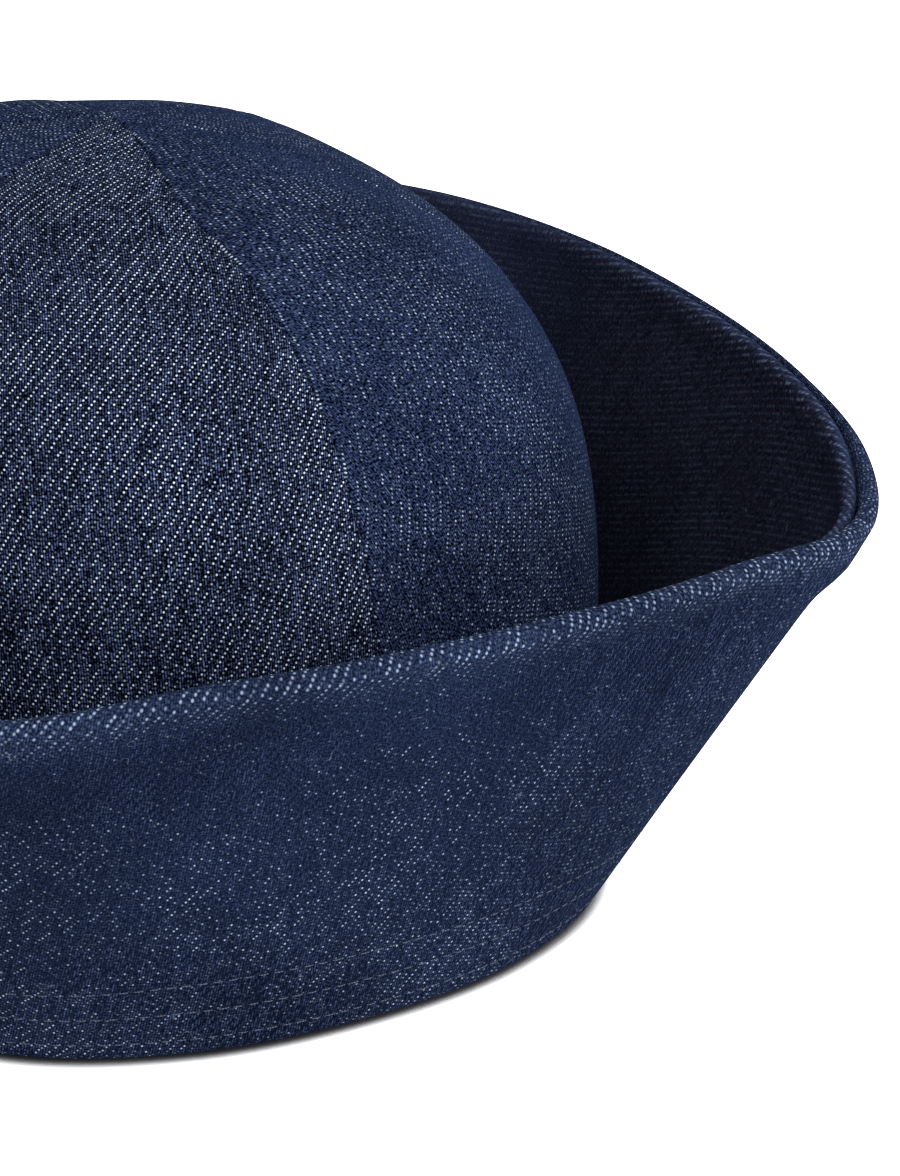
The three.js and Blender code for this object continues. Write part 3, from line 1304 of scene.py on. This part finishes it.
class GroupMaker:
    """Starts a shader node group with named inputs and outputs."""

    def __init__(self, name: str) -> None:
        """Makes the empty group."""
        self.tree = bpy.data.node_groups.new(name, "ShaderNodeTree")
        self.wiring = Wiring(self.tree)

    def sockets(self, inputs: dict[str, object], outputs: dict[str, str]) -> tuple[Sockets, Sockets]:
        """Args:
            inputs: each input's name with its plain value: a number, a colour, or None for a place.
            outputs: each output's name with its socket type.

        Returns:
            What comes into the group and what goes out of it, by name.
        """
        for name, plain in inputs.items():
            if plain is None:
                kind = "NodeSocketVector"
            elif isinstance(plain, tuple):
                kind = "NodeSocketColor"
            else:
                kind = "NodeSocketFloat"
            socket = self.tree.interface.new_socket(name=name, in_out="INPUT", socket_type=kind)
            if plain is not None:
                socket.default_value = plain
        for name, kind in outputs.items():
            self.tree.interface.new_socket(name=name, in_out="OUTPUT", socket_type=kind)
        return self.wiring.add("NodeGroupInput").outputs, self.wiring.add("NodeGroupOutput").inputs


@dataclass(frozen=True)
class Weave:
    """A right-hand twill of three up and one down."""

    repeat: int = 4
    wobble: float = 0.00022
    wobble_scale: float = 170.0
    patch_scale: float = 60.0
    patch_span: Pair = (0.3, 0.7)
    patch_show: Pair = (0.6, 1.2)
    least_seen: float = 0.05
    slip: float = 0.35
    slip_seed: float = 7.0
    dot_width: float = 0.58
    dot_height: float = 0.42
    dot_rise: float = 0.8
    worn_chance: Pair = (0.1, 0.9)
    worn_luck: Pair = (0.1, 1.0)
    weft_stain: Colour = (0.72, 0.82, 1.0, 1.0)
    ridge_edge: Pair = (0.45, 0.1)
    arch_edge: Pair = (0.3, 1.2)
    slub_scale: float = 900.0
    slub_stretch: Place = (1.0, 0.08, 1.0)
    slub_dark: float = 0.5
    dye_dark: float = 0.2
    dye_spread: float = 1.1
    fuzz_cover: float = 0.85
    fibre_scale: float = 2300.0
    fibre_span: Pair = (0.38, 0.62)
    worn_lift: float = 0.12

    def group(self) -> bpy.types.NodeTree:
        """Makes the twill as a node group.

        Dark-dyed warp threads run up the cloth in floats over three weft threads, and a pale weft
        thread shows as a dot between one float and the next. Each dot lies one warp to the right
        and one weft up from its neighbour.

        Returns:
            The group: cloth place, colours, wear, nap and weft in, colour, height and weft mask out.
        """
        maker = GroupMaker("denim_twill")
        inputs = {
            "Cloth Place": None,
            "Warp Pitch": 0.00046,
            "Weft Pitch": 0.00073,
            "Warp Colour": (0.05, 0.07, 0.15, 1.0),
            "Gap Shade Colour": (0.004, 0.005, 0.012, 1.0),
            "Weft Colour": (0.7, 0.75, 0.85, 1.0),
            "Weft Show": 0.8,
            "Weft Seen": 1.0,
            "Weft Chance": 1.0,
            "Dot Size": 1.0,
            "Dot Edge": 0.4,
            "Wear": 0.0,
            "Worn Show": 0.8,
            "Worn Size": 0.0,
            "Nap": 0.0,
            "Nap Colour": (0.02, 0.03, 0.08, 1.0),
            "Speckle": 0.6,
        }
        outputs = {"Colour": "NodeSocketColor", "Height": "NodeSocketFloat", "Weft": "NodeSocketFloat"}
        given, result = maker.sockets(inputs, outputs)
        w = maker.wiring
        place = given["Cloth Place"]
        wear = given["Wear"]
        drift = w.noise(place, self.wobble_scale)
        shift = w.add("ShaderNodeVectorMath", operation="MULTIPLY_ADD")
        w.feed(shift.inputs[0], drift.outputs["Color"])
        shift.inputs[1].default_value = (2 * self.wobble, 2 * self.wobble, 0)
        w.feed(shift.inputs[2], place)
        parts = w.add("ShaderNodeSeparateXYZ")
        w.feed(parts.inputs[0], shift.outputs[0])
        across = w.math("DIVIDE", parts.outputs[0], given["Warp Pitch"])
        up = w.math("DIVIDE", parts.outputs[1], given["Weft Pitch"])
        warp = w.math("FLOOR", across)
        swollen = w.math("MULTIPLY", wear, given["Worn Size"])
        wide = w.math("MULTIPLY", given["Dot Size"], w.math("ADD", 1.0, swollen))

        # Weft dots, of this warp thread and of its neighbours
        streaks = w.noise(place, self.patch_scale, detail=1.0)
        patch = w.span(streaks.outputs["Fac"], *self.patch_span, *self.patch_show)
        seen = w.math("MULTIPLY", given["Weft Seen"], patch)
        show = w.math("MULTIPLY", given["Weft Show"], w.math("SQRT", seen))
        rarity = w.math("DIVIDE", given["Weft Chance"], w.math("MAXIMUM", seen, self.least_seen))
        worn_show = w.math("MULTIPLY", wear, given["Worn Show"])
        raised: Feed = 0.0
        shown: Feed = 0.0
        for side in (-1.0, 1.0, 0.0):
            thread = w.math("ADD", warp, side)
            from_middle = w.math("SUBTRACT", w.math("SUBTRACT", across, thread), 0.5)
            thread_chance = w.scatter(thread, self.slip_seed).outputs["Value"]
            slip = w.math("MULTIPLY", thread_chance, self.slip)
            ride = w.math("ADD", w.math("SUBTRACT", up, thread), slip)
            walked = w.math("ADD", ride, self.repeat / 2)
            past_float = w.math("FLOORED_MODULO", walked, float(self.repeat))
            from_dot = w.math("SUBTRACT", past_float, self.repeat / 2)
            chance = w.scatter(thread, w.math("FLOOR", w.math("DIVIDE", walked, float(self.repeat))))
            dx = w.math("DIVIDE", from_middle, w.math("MULTIPLY", wide, self.dot_width))
            dy = w.math("DIVIDE", from_dot, w.math("MULTIPLY", wide, self.dot_height))
            far = w.math("SQRT", w.math("ADD", w.math("MULTIPLY", dx, dx), w.math("MULTIPLY", dy, dy)))
            dot = w.step(far, 1.0, given["Dot Edge"])
            luck = w.math("POWER", chance.outputs["Value"], rarity)
            fresh = w.math("MULTIPLY", show, luck)
            worn_luck = w.span(chance.outputs["Value"], *self.worn_chance, *self.worn_luck)
            strength = w.math("MAXIMUM", fresh, w.math("MULTIPLY", worn_show, worn_luck))
            raised = w.math("MAXIMUM", raised, dot)
            shown = w.math("MAXIMUM", shown, w.math("MULTIPLY", dot, w.math("MINIMUM", strength, 1.0)))

        # Warp floats, each dyed a little differently, with painted shade in the gaps between them and where
        # they dip under the weft
        ridge = w.step(w.math("ABSOLUTE", from_middle), *self.ridge_edge)
        arch = w.step(w.math("ABSOLUTE", from_dot), *self.arch_edge)
        floats = w.math("MULTIPLY", ridge, arch)
        stretch = w.add("ShaderNodeVectorMath", operation="MULTIPLY")
        w.feed(stretch.inputs[0], place)
        stretch.inputs[1].default_value = self.slub_stretch
        slub = w.noise(stretch.outputs[0], self.slub_scale, detail=1.0)
        tones = w.add("ShaderNodeSeparateColor")
        w.feed(tones.inputs[0], chance.outputs["Color"])
        tone = w.math("ADD", self.dye_dark, w.math("MULTIPLY", tones.outputs[1], self.dye_spread))
        bright = w.math("MULTIPLY", tone, w.math("ADD", self.slub_dark, slub.outputs["Fac"]))
        dye = w.mix(1.0, given["Warp Colour"], bright, "MULTIPLY")
        bare = w.mix(floats, given["Gap Shade Colour"], dye)

        # Fuzz over the weave, speckled like loose fibre
        cover = w.math("MULTIPLY", given["Nap"], self.fuzz_cover)
        fuzzy = w.mix(cover, bare, given["Nap Colour"])
        fibre = w.noise(place, self.fibre_scale, detail=1.0)
        dark = w.math("SUBTRACT", 1.0, given["Speckle"])
        light = w.math("ADD", 1.0, given["Speckle"])
        speckle = w.span(fibre.outputs["Fac"], *self.fibre_span, dark, light)
        rubbed = w.math("ADD", 1.0, w.math("MULTIPLY", wear, self.worn_lift))
        lift = w.math("MULTIPLY", speckle, rubbed)
        cloth = w.mix(1.0, fuzzy, lift, "MULTIPLY")
        stain = w.mix(shown, self.weft_stain, WHITE)
        weft = w.mix(1.0, given["Weft Colour"], stain, "MULTIPLY")
        w.feed(result["Colour"], w.mix(shown, cloth, weft))
        w.feed(result["Height"], w.math("MAXIMUM", floats, w.math("MULTIPLY", raised, self.dot_rise)))
        w.feed(result["Weft"], shown)
        return maker.tree


@dataclass(frozen=True)
class Ageing:
    """Uneven dye over a whole piece, and loose lint on its face."""

    cloud_scale: float = 28.0
    cloud_span: Pair = (0.3, 0.7)
    cloud_depth: float = 0.16
    lint_scale: float = 420.0
    lint_width: float = 0.012
    lint_patch_scale: float = 231.0
    lint_patch_edge: Pair = (0.64, 0.7)

    def group(self) -> bpy.types.NodeTree:
        """Makes the uneven dye and the lint as a node group.

        Returns:
            The group: colour, cloth place and lint in, colour out.
        """
        maker = GroupMaker("cloth_ageing")
        inputs = {
            "Colour": (0.05, 0.07, 0.15, 1.0),
            "Cloth Place": None,
            "Lint Colour": (0.3, 0.36, 0.48, 1.0),
            "Lint": 0.5,
        }
        given, result = maker.sockets(inputs, {"Colour": "NodeSocketColor"})
        w = maker.wiring
        place = given["Cloth Place"]
        cloud = w.noise(place, self.cloud_scale, detail=3.0)
        shade = w.span(cloud.outputs["Fac"], *self.cloud_span, 1 - self.cloud_depth, 1 + self.cloud_depth)
        dyed = w.mix(1.0, given["Colour"], shade, "MULTIPLY")
        curl = w.noise(place, self.lint_scale, detail=0.0)
        line = w.math("ABSOLUTE", w.math("SUBTRACT", curl.outputs["Fac"], 0.5))
        thin = w.step(line, self.lint_width, 0.0)
        patches = w.noise(place, self.lint_patch_scale, detail=1.0)
        rare = w.step(patches.outputs["Fac"], *self.lint_patch_edge)
        lint = w.math("MULTIPLY", w.math("MULTIPLY", thin, rare), given["Lint"])
        w.feed(result["Colour"], w.mix(lint, dyed, given["Lint Colour"]))
        return maker.tree


@dataclass(frozen=True)
class DenimFinish:
    """One denim: its thread colours, how much weft shows, and its shine."""

    name: str
    warp_pitch: float
    weft_pitch: float
    warp: Colour
    # Colour between the warp floats: painted shade of the yarn relief.
    gap: Colour
    weft: Colour
    weft_show: float
    weft_chance: float
    dot_size: float
    dot_edge: float
    worn_show: float
    nap: Colour
    speckle: float
    lint: float
    sheen: float
    sheen_tint: Colour = (0.25, 0.45, 1.0, 1.0)
    sheen_roughness: float = 0.45
    specular: float = 0.0
    worn_size: float = 0.0
    warp_roughness: float = 0.95
    weft_roughness: float = 0.8
    bump: float = 0.35
    bump_distance: float = 0.00012

    def material(self, twill: bpy.types.NodeTree, ageing: bpy.types.NodeTree) -> bpy.types.Material:
        """Makes the material.

        Args:
            twill: the weave's node group.
            ageing: the uneven dye's node group.

        Returns:
            The material.
        """
        material, w, shader = open_material(self.name)
        place = w.add("ShaderNodeUVMap", uv_map=GRAIN_UV).outputs[0]
        weave = w.add("ShaderNodeGroup", node_tree=twill)
        values = {
            "Cloth Place": place,
            "Warp Pitch": self.warp_pitch,
            "Weft Pitch": self.weft_pitch,
            "Warp Colour": self.warp,
            "Gap Shade Colour": self.gap,
            "Weft Colour": self.weft,
            "Weft Show": self.weft_show,
            "Weft Seen": w.layer(WEFT),
            "Weft Chance": self.weft_chance,
            "Dot Size": self.dot_size,
            "Dot Edge": self.dot_edge,
            "Wear": w.layer(WEAR),
            "Worn Show": self.worn_show,
            "Worn Size": self.worn_size,
            "Nap": w.layer(NAP),
            "Nap Colour": self.nap,
            "Speckle": self.speckle,
        }
        for name, value in values.items():
            w.feed(weave.inputs[name], value)
        aged = w.add("ShaderNodeGroup", node_tree=ageing)
        w.feed(aged.inputs["Colour"], weave.outputs["Colour"])
        w.feed(aged.inputs["Cloth Place"], place)
        w.feed(aged.inputs["Lint"], self.lint)
        w.feed(shader.inputs["Base Color"], aged.outputs["Colour"])
        roughness = w.span(weave.outputs["Weft"], 0.0, 1.0, self.warp_roughness, self.weft_roughness)
        w.feed(shader.inputs["Roughness"], roughness)
        bump = w.add("ShaderNodeBump")
        bump.inputs["Strength"].default_value = self.bump
        bump.inputs["Distance"].default_value = self.bump_distance
        w.feed(bump.inputs["Height"], weave.outputs["Height"])
        w.feed(shader.inputs["Normal"], bump.outputs[0])
        shader.inputs["Specular IOR Level"].default_value = self.specular
        shader.inputs["Sheen Weight"].default_value = self.sheen
        shader.inputs["Sheen Roughness"].default_value = self.sheen_roughness
        shader.inputs["Sheen Tint"].default_value = self.sheen_tint
        return material


@dataclass(frozen=True)
class ThreadFinish:
    """Sewing thread: two plies twisted together, whose dark colour at the ply edges is painted shade in the
    grooves between them.
    """

    name: str = "navy_thread"
    light: Colour = (0.13, 0.165, 0.23, 1.0)
    dark: Colour = (0.03, 0.035, 0.055, 1.0)
    ply_pitch: float = 0.0006
    twist: float = 1000.0
    ply_edge: Pair = (0.42, 0.2)
    roughness: Pair = (0.6, 0.85)
    specular: float = 0.15

    def material(self) -> bpy.types.Material:
        """Makes the material.

        Returns:
            The material.
        """
        material, w, shader = open_material(self.name)
        place = w.add("ShaderNodeUVMap", uv_map=GRAIN_UV).outputs[0]
        parts = w.add("ShaderNodeSeparateXYZ")
        w.feed(parts.inputs[0], place)
        along = w.math("DIVIDE", parts.outputs[1], self.ply_pitch)
        twisted = w.math("ADD", along, w.math("MULTIPLY", parts.outputs[0], self.twist))
        ply = w.math("ABSOLUTE", w.math("SUBTRACT", w.math("FRACT", twisted), 0.5))
        # Dark at the edges of each ply: painted shade in the grooves between the plies.
        w.feed(shader.inputs["Base Color"], w.mix(w.step(ply, *self.ply_edge), self.dark, self.light))
        w.feed(shader.inputs["Roughness"], w.span(ply, 0.0, 0.5, *self.roughness))
        shader.inputs["Specular IOR Level"].default_value = self.specular
        return material


CROWN_DENIM = DenimFinish(
    name="crown_denim_face",
    warp_pitch=0.00044,
    weft_pitch=0.00068,
    warp=(0.052, 0.073, 0.155, 1.0),
    gap=(0.0004, 0.0008, 0.005, 1.0),
    weft=(0.76, 0.88, 1.0, 1.0),
    weft_show=1.2,
    weft_chance=0.62,
    dot_size=0.9,
    dot_edge=0.4,
    worn_show=1.2,
    nap=(0.0165, 0.0275, 0.074, 1.0),
    speckle=0.95,
    lint=0.2,
    sheen=0.03,
)
CROWN_REVERSE = DenimFinish(
    name="crown_denim_reverse",
    warp_pitch=0.00044,
    weft_pitch=0.00068,
    warp=(0.36, 0.39, 0.45, 1.0),
    gap=(0.07, 0.08, 0.12, 1.0),
    weft=(0.02, 0.03, 0.07, 1.0),
    weft_show=0.9,
    weft_chance=0.5,
    dot_size=1.0,
    dot_edge=0.4,
    worn_show=0.4,
    nap=(0.2, 0.22, 0.27, 1.0),
    speckle=0.3,
    lint=0.2,
    sheen=0.03,
)
BRIM_DENIM = DenimFinish(
    name="brim_denim_face",
    warp_pitch=0.00045,
    weft_pitch=0.00079,
    warp=(0.054, 0.077, 0.167, 1.0),
    gap=(0.0015, 0.0026, 0.011, 1.0),
    weft=(0.68, 0.8, 0.97, 1.0),
    weft_show=1.4,
    weft_chance=1.3,
    dot_size=1.0,
    dot_edge=0.1,
    worn_show=0.58,
    worn_size=0.4,
    nap=(0.0112, 0.0183, 0.0465, 1.0),
    speckle=0.6,
    lint=0.5,
    sheen=0.03,
)
# The facing is the same denim as the brim: its darker, greyer warp and its faint weft dots are painted shade
# of the trough between crown and brim.
SHADED_FACING_DENIM = DenimFinish(
    name="brim_facing_face_painted_shade",
    warp_pitch=0.00038,
    weft_pitch=0.0006,
    warp=(0.024, 0.0245, 0.046, 1.0),
    gap=(0.011, 0.011, 0.022, 1.0),
    weft=(0.5, 0.6, 0.85, 1.0),
    weft_show=0.12,
    weft_chance=1.0,
    dot_size=1.9,
    dot_edge=0.0,
    worn_show=0.34,
    nap=(0.022, 0.032, 0.07, 1.0),
    speckle=0.4,
    lint=0.2,
    sheen=0.015,
)


class Softbox(NamedTuple):
    """A square lamp: where it hangs, the length of its sides and its power in watts."""

    name: str
    place: Place
    size: float
    energy: float


SOFTBOXES = (
    Softbox("front_softbox", (0.2, -1.4, 0.85), 1.8, 25.0),
    Softbox("key_softbox", (-0.9, -0.9, 1.3), 1.2, 4.0),
    Softbox("back_softbox", (0.9, 1.0, 1.1), 1.2, 1.5),
)


@dataclass
class Studio:
    """A plain white floor, soft light all round and the camera at the photograph's angle."""

    camera_place: Place = (-0.3306, -0.6516, 0.3346)
    camera_forward: Place = (0.4900, 0.7906, -0.3671)
    camera_reach: Pair = (0.01, 20.0)
    sensor: float = 36.0
    focal_pixels: float = 4306.5
    photo_height: int = 1176
    floor_reach: float = 6.0
    floor_drop: float = 0.0002
    sky: float = 0.5
    floor_white: Colour = (0.86, 0.86, 0.86, 1.0)
    floor_glare: Colour = (3.0, 3.0, 3.0, 1.0)
    painted_floor_shadow: Colour = (0.09, 0.09, 0.095, 1.0)
    floor_roughness: float = 0.9
    contact_reach: float = 0.004
    contact_edge: Pair = (0.22, 0.72)
    contact_samples: int = 12
    softboxes: tuple[Softbox, ...] = SOFTBOXES
    softbox_aim: Place = (0.0, 0.0, 0.06)

    def build(self) -> None:
        """Makes the camera, the floor, the sky and the lamps."""
        self.camera()
        self.floor()
        self.sky_light()
        for softbox in self.softboxes:
            self.lamp(softbox)
        bpy.context.scene.view_settings.view_transform = "Standard"

    def camera(self) -> None:
        """Makes the camera: the picture's long side is its height."""
        data = bpy.data.cameras.new("photo_camera")
        data.sensor_width = self.sensor
        data.lens = self.focal_pixels * self.sensor / self.photo_height
        data.clip_start, data.clip_end = self.camera_reach
        camera = add_object("photo_camera", data)
        camera.location = self.camera_place
        camera.rotation_mode = "QUATERNION"
        camera.rotation_quaternion = Vector(self.camera_forward).to_track_quat("-Z", "Y")
        bpy.context.scene.camera = camera

    def floor(self) -> None:
        """Makes the floor, which is no part of the hat, with a painted contact shadow round the hat's foot.

        The picture shows it overexposed to plain white, while the hat gets only the light of a white table.
        """
        reach = self.floor_reach
        corners = [(x * reach, y * reach, -self.floor_drop) for x, y in ((-1, -1), (1, -1), (1, 1), (-1, 1))]
        mesh = bpy.data.meshes.new("floor")
        mesh.from_pydata(corners, [], [(0, 1, 2, 3)])
        floor = add_object("floor", mesh)
        material, w, shader = open_material("white_floor")
        shader.inputs["Base Color"].default_value = self.floor_white
        shader.inputs["Roughness"].default_value = self.floor_roughness
        shader.inputs["Specular IOR Level"].default_value = 0.0
        glare = w.add("ShaderNodeBsdfDiffuse")
        # Painted contact shadow: where ambient occlusion finds the hat within a few millimetres, the floor's
        # colour darkens from the glare to a dark grey.
        contact = w.add("ShaderNodeAmbientOcclusion", samples=self.contact_samples)
        contact.inputs["Distance"].default_value = self.contact_reach
        open_floor = w.step(contact.outputs["AO"], *self.contact_edge)
        w.feed(glare.inputs["Color"], w.mix(open_floor, self.painted_floor_shadow, self.floor_glare))
        mixed = w.add("ShaderNodeMixShader")
        w.feed(mixed.inputs[0], w.add("ShaderNodeLightPath").outputs["Is Camera Ray"])
        w.feed(mixed.inputs[1], shader.outputs[0])
        w.feed(mixed.inputs[2], glare.outputs[0])
        w.feed(material.node_tree.nodes["Material Output"].inputs["Surface"], mixed.outputs[0])
        mesh.materials.append(material)

    def sky_light(self) -> None:
        """Makes the even white light from all round."""
        world = bpy.data.worlds.new("white_room")
        world.use_nodes = True
        background = world.node_tree.nodes["Background"]
        background.inputs["Color"].default_value = WHITE
        background.inputs["Strength"].default_value = self.sky
        bpy.context.scene.world = world

    def lamp(self, softbox: Softbox) -> None:
        """Makes one softbox that faces the hat.

        Args:
            softbox: the lamp's name, place, size and power.
        """
        data = bpy.data.lights.new(softbox.name, "AREA")
        data.size = softbox.size
        data.energy = softbox.energy
        lamp = add_object(softbox.name, data)
        lamp.location = softbox.place
        lamp.visible_camera = False
        lamp.rotation_mode = "QUATERNION"
        towards = Vector(self.softbox_aim) - Vector(softbox.place)
        lamp.rotation_quaternion = towards.to_track_quat("-Z", "Y")


def main() -> None:
    """Builds the studio and the hat, piece by piece."""
    logging.basicConfig(level=logging.INFO, format="%(name)s: %(message)s")
    Studio().build()
    twill = Weave().group()
    ageing = Ageing().group()
    crown = Crown()
    crown.build(CROWN_DENIM.material(twill, ageing), CROWN_REVERSE.material(twill, ageing))
    brim = Brim()
    brim.build(BRIM_DENIM.material(twill, ageing), SHADED_FACING_DENIM.material(twill, ageing))
    stitching = Topstitching(brim)
    stitching.build(ThreadFinish().material())
    for piece in crown.pieces + brim.pieces + stitching.pieces:
        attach(piece, ROOT_BODY)
        LOG.info("%s: %d faces", piece.name, len(piece.data.polygons))


if __name__ == "__main__":
    main()
